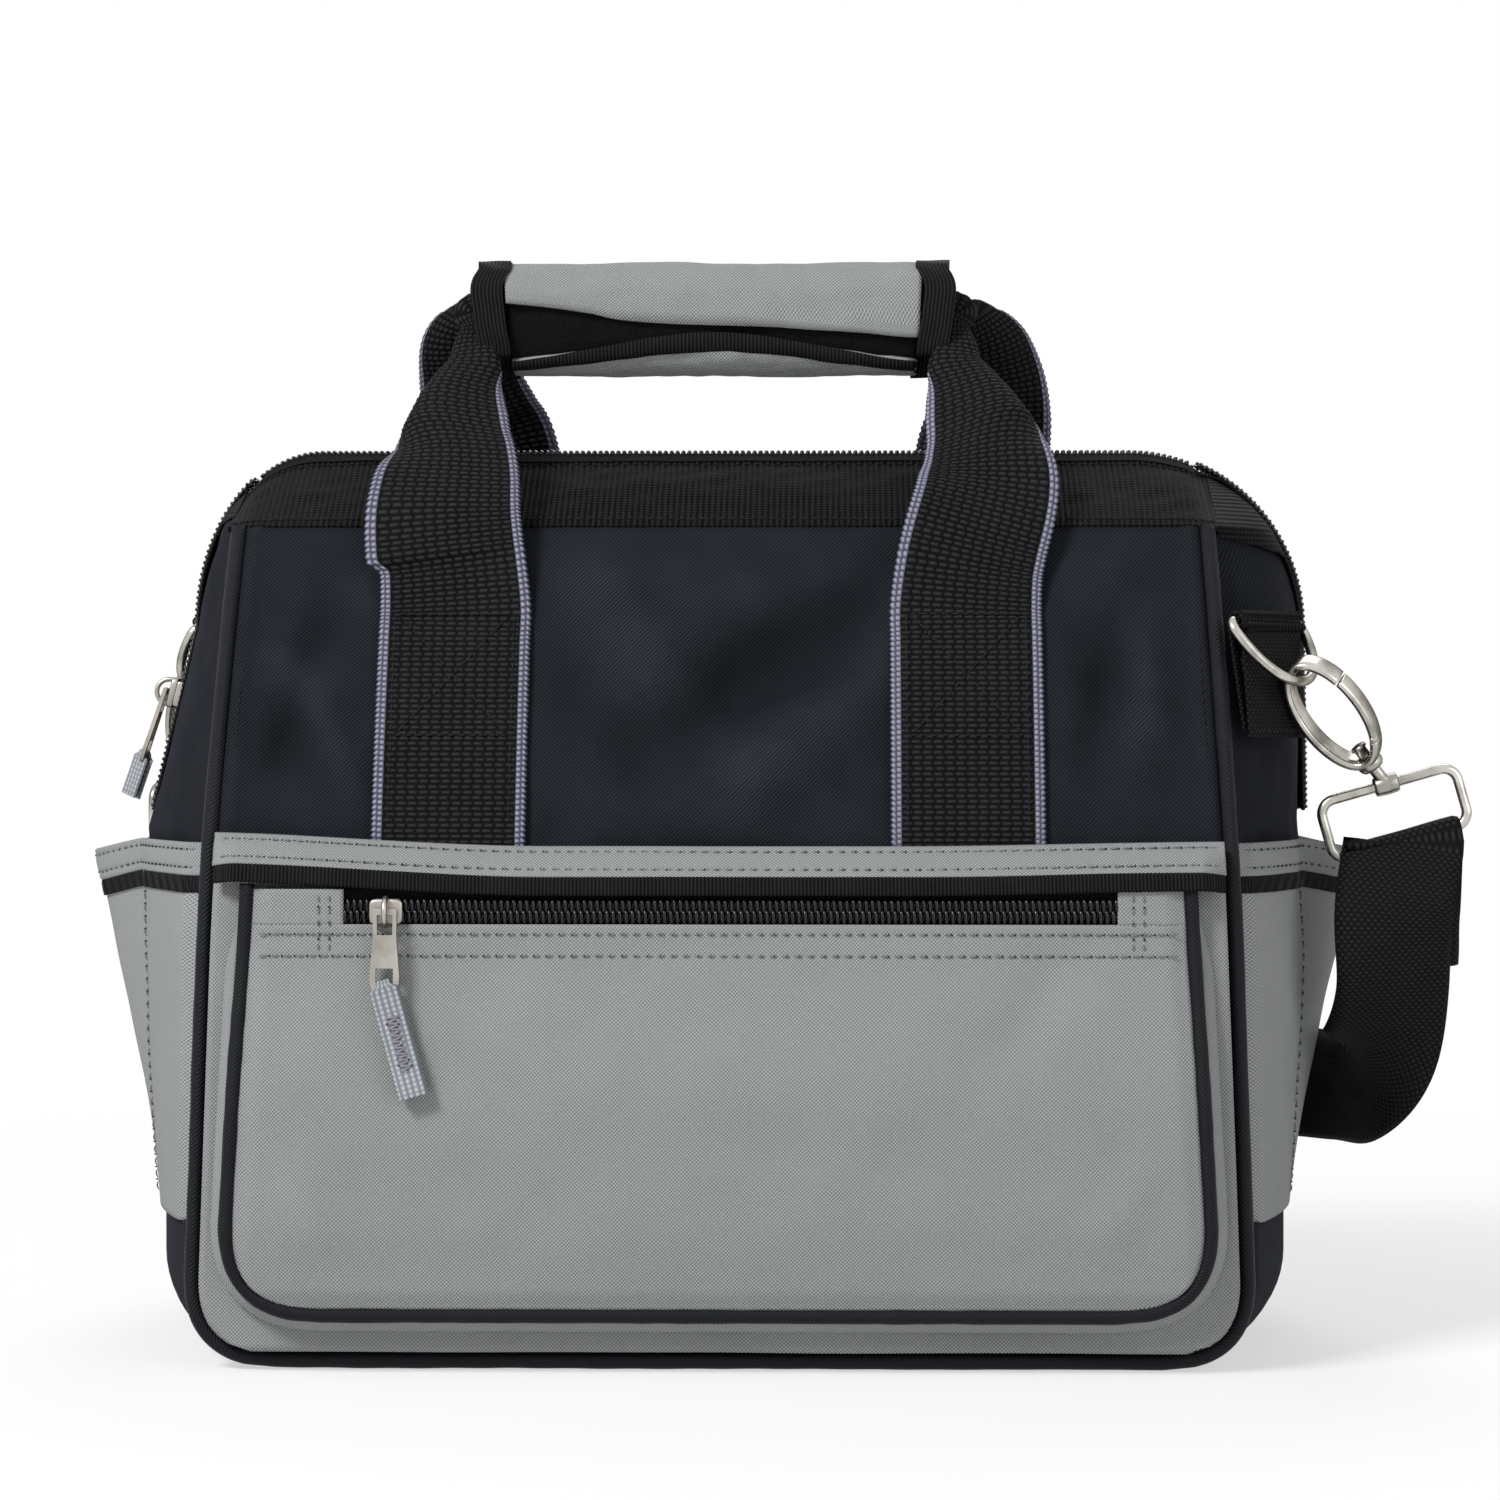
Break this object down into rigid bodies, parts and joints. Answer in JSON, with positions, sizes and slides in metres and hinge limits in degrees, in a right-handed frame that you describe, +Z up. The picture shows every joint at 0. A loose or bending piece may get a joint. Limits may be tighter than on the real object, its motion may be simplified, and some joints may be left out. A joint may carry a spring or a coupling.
{
  "type": "tool tote bag",
  "caption": "Soft zip-top tool tote in black and grey cloth with wrapped webbing handles, zipped front pocket, flared side pockets and a clip-on shoulder strap.",
  "frame": {"origin": "on the floor under the middle of the base", "axes": "+X to the right of the front pocket, -Y out of the front, +Z up"},
  "size_m": [0.4714, 0.2957, 0.3695],
  "materials": {
    "black_polyester": "navy-black diagonal weave polyester",
    "grey_polyester": "mid grey plain weave polyester",
    "black_webbing": "black ribbed webbing",
    "black_piping": "black bias-bound piping",
    "zip_black": "black nylon coil zip",
    "base_board": "stiffening board",
    "satin_nickel": "satin nickel plate",
    "nickel": "bright nickel plate"
  },
  "bodies": {
    "bag": {"base_panel": "black_polyester", "front_panel": "black_polyester", "rear_panel": "black_polyester", "left_gusset": "black_polyester", "right_gusset": "black_polyester", "front_lower_panel": "grey_polyester", "rear_lower_panel": "grey_polyester", "front_hem": "grey_polyester", "rear_hem": "grey_polyester", "front_pocket": "grey_polyester", "left_side_pocket": "grey_polyester", "right_side_pocket": "grey_polyester", "left_side_hem": "grey_polyester", "right_side_hem": "grey_polyester", "front_tape": "black_webbing", "rear_tape": "black_webbing", "left_side_tape": "black_webbing", "right_side_tape": "black_webbing", "front_handle_end_left": "black_webbing", "front_handle_end_right": "black_webbing", "rear_handle_end_left": "black_webbing", "rear_handle_end_right": "black_webbing", "left_d_tab": "black_webbing", "right_d_tab": "black_webbing", "shoulder_strap": "black_webbing", "strap_return": "black_webbing", "front_piping": "black_piping", "rear_piping": "black_piping", "front_pocket_piping": "black_piping", "front_zip_tape": "zip_black", "front_zip_chain": "zip_black", "left_zip_tape": "zip_black", "right_zip_tape": "zip_black", "left_zip_chain": "zip_black", "right_zip_chain": "zip_black", "base_board": "base_board"},
    "front_handle": {"front_handle": "black_webbing"},
    "rear_handle": {"rear_handle": "black_webbing", "grip_wrap": "grey_polyester", "grip_binding_left": "black_piping", "grip_binding_right": "black_piping"},
    "grip_flap": {"grip_flap": "grey_polyester"},
    "front_lip": {"front_top_band": "black_webbing", "front_zip_half": "zip_black"},
    "rear_lip": {"rear_top_band": "black_webbing", "rear_zip_half": "zip_black"},
    "front_slider": {"front_slider": "satin_nickel"},
    "front_puller": {"front_puller": "nickel", "front_pull_tape": "grey_polyester"},
    "main_slider": {"main_slider": "satin_nickel"},
    "main_puller": {"main_puller": "nickel", "main_pull_tape": "grey_polyester"},
    "left_d_ring": {"left_d_ring": "nickel"},
    "left_hook": {"left_hook": "nickel"},
    "left_hook_gate": {"left_hook_gate": "nickel"},
    "left_strap_end": {"left_strap_loop": "nickel"},
    "right_d_ring": {"right_d_ring": "nickel"},
    "right_hook": {"right_hook": "nickel"},
    "right_hook_gate": {"right_hook_gate": "nickel"},
    "right_strap_end": {"right_strap_loop": "nickel"}
  },
  "joints": [
    {"name": "front_handle_fold", "type": "hinge", "parent": "bag", "child": "front_handle", "pos_m": [0, -0.064, 0.2523], "axis": [1, 0, 0], "range_deg": [0, 140], "deforming": ["grip_wrap", "grip_binding_left", "grip_binding_right", "grip_flap"]},
    {"name": "rear_handle_fold", "type": "hinge", "parent": "bag", "child": "rear_handle", "pos_m": [0, 0.064, 0.2523], "axis": [-1, 0, 0], "range_deg": [0, 140]},
    {"name": "front_lip_open", "type": "hinge", "parent": "bag", "child": "front_lip", "pos_m": [0, -0.048, 0.2773], "axis": [1, 0, 0], "range_deg": [0, 84]},
    {"name": "rear_lip_open", "type": "hinge", "parent": "bag", "child": "rear_lip", "pos_m": [0, 0.048, 0.2773], "axis": [-1, 0, 0], "range_deg": [0, 84]},
    {"name": "grip_flap_peel", "type": "hinge", "parent": "rear_handle", "child": "grip_flap", "pos_m": [0, 0.0071, 0.3315], "axis": [1, 0, 0], "range_deg": [0, 70]},
    {"name": "front_slider_run", "type": "slide", "parent": "bag", "child": "front_slider", "axis": [1, 0, 0], "range_m": [0, 0.224]},
    {"name": "front_puller_lift", "type": "hinge", "parent": "front_slider", "child": "front_puller", "pos_m": [-0.107, -0.1105, 0.15], "axis": [-1, 0, 0], "range_deg": [0, 110]},
    {"name": "main_slider_run", "type": "slide", "parent": "bag", "child": "main_slider", "axis": [0.2392, 0, 0.971], "range_m": [0, 0.016]},
    {"name": "main_puller_lift", "type": "hinge", "parent": "main_slider", "child": "main_puller", "pos_m": [-0.19571, 0, 0.22168], "axis": [0, 1, 0], "range_deg": [0, 110]},
    {"name": "left_strap_swing", "type": "hinge", "parent": "bag", "child": "left_strap_end", "pos_m": [-0.18125, 0.04715, 0.24431], "axis": [0.3839, 0.9234, 0], "range_deg": [0, 45], "deforming": ["shoulder_strap"]},
    {"name": "left_d_ring_swing", "type": "hinge", "parent": "bag", "child": "left_d_ring", "pos_m": [-0.18125, 0.04715, 0.24431], "axis": [0.3839, 0.9234, 0], "range_deg": [0, 45]},
    {"name": "left_swivel", "type": "hinge", "parent": "left_strap_end", "child": "left_hook", "pos_m": [-0.19137, 0.05792, 0.22558], "axis": [-0.2494, 0.449, -0.858], "range_deg": [-15, 15]},
    {"name": "left_gate_open", "type": "hinge", "parent": "left_hook", "child": "left_hook_gate", "pos_m": [-0.20308, 0.07301, 0.20343], "axis": [0.5341, 0.8029, 0.2648], "range_deg": [0, 25], "stiffness_Nm_per_rad": 0.02, "springref_deg": -11.46},
    {"name": "right_strap_swing", "type": "hinge", "parent": "bag", "child": "right_strap_end", "pos_m": [0.18142, -0.05603, 0.24425], "axis": [-0.6055, -0.7958, 0], "range_deg": [0, 45], "deforming": ["shoulder_strap", "strap_return"]},
    {"name": "right_d_ring_swing", "type": "hinge", "parent": "bag", "child": "right_d_ring", "pos_m": [0.18142, -0.05603, 0.24425], "axis": [-0.6055, -0.7958, 0], "range_deg": [0, 45]},
    {"name": "right_swivel", "type": "hinge", "parent": "right_strap_end", "child": "right_hook", "pos_m": [0.19548, -0.05933, 0.22526], "axis": [0.6018, 0.1605, -0.7824], "range_deg": [-15, 15]},
    {"name": "right_gate_open", "type": "hinge", "parent": "right_hook", "child": "right_hook_gate", "pos_m": [0.21686, -0.05757, 0.20538], "axis": [-0.3226, -0.8473, -0.422], "range_deg": [0, 25], "stiffness_Nm_per_rad": 0.02, "springref_deg": -11.46}
  ],
  "couplings": [
    {"joint": "front_lip_open", "follows": "front_handle_fold", "ratio": 0.6},
    {"joint": "rear_lip_open", "follows": "rear_handle_fold", "ratio": 0.6},
    {"joint": "left_d_ring_swing", "follows": "left_strap_swing", "ratio": 1},
    {"joint": "right_d_ring_swing", "follows": "right_strap_swing", "ratio": 1}
  ]
}
